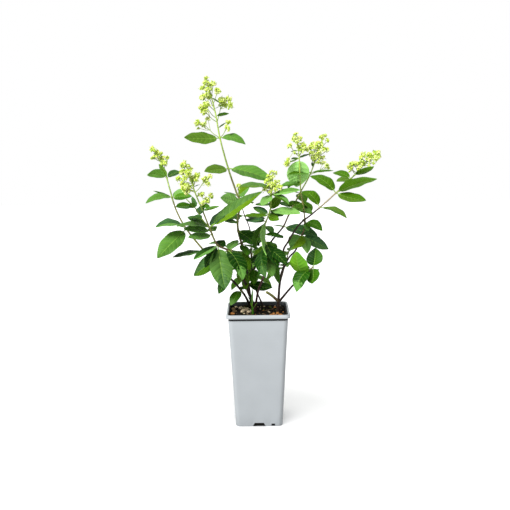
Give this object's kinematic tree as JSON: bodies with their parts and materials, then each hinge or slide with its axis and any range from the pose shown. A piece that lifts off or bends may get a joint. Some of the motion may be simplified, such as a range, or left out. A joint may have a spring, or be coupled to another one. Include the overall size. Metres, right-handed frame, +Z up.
{
  "type": "potted panicle hydrangea",
  "caption": "Young panicle hydrangea in bud in a tall tapering square nursery pot: bare stems, masses of leaves with flower heads, potting soil and pot as separate solids.",
  "frame": {"origin": "middle of the pot's flat underside, on the surface it stands on", "axes": "+Z up; -Y is the side of the pot and plant that the picture looks at; +X is to the right of the picture"},
  "size_m": [0.4619, 0.2704, 0.7094],
  "materials": {
    "pot_plastic": "smooth satin light grey",
    "potting_soil": "loose dark moist compost",
    "bark": "smooth dark young bark",
    "leaves": "soft satin green leaves and lime buds"
  },
  "bodies": {
    "root": {"pot": "pot_plastic", "soil": "potting_soil", "stem_far_left": "bark", "stem_left": "bark", "stem_tall": "bark", "stem_centre": "bark", "stem_back_right": "bark", "stem_back_middle": "bark", "stem_right_trunk": "bark", "stem_right_middle": "bark", "stem_far_right": "bark", "stem_upper_right": "bark", "stem_low_right": "bark", "stem_broken_stub": "bark", "foliage_far_left": "leaves", "foliage_left": "leaves", "foliage_tall": "leaves", "foliage_tall_top": "leaves", "foliage_centre": "leaves", "foliage_back_right": "leaves", "foliage_back_middle": "leaves", "foliage_far_right": "leaves", "foliage_upper_right": "leaves", "foliage_low_right": "leaves", "foliage_low_left": "leaves", "foliage_under_left": "leaves", "foliage_back_left": "leaves", "foliage_back_centre": "leaves", "foliage_back_low_right": "leaves"}
  },
  "joints": []
}
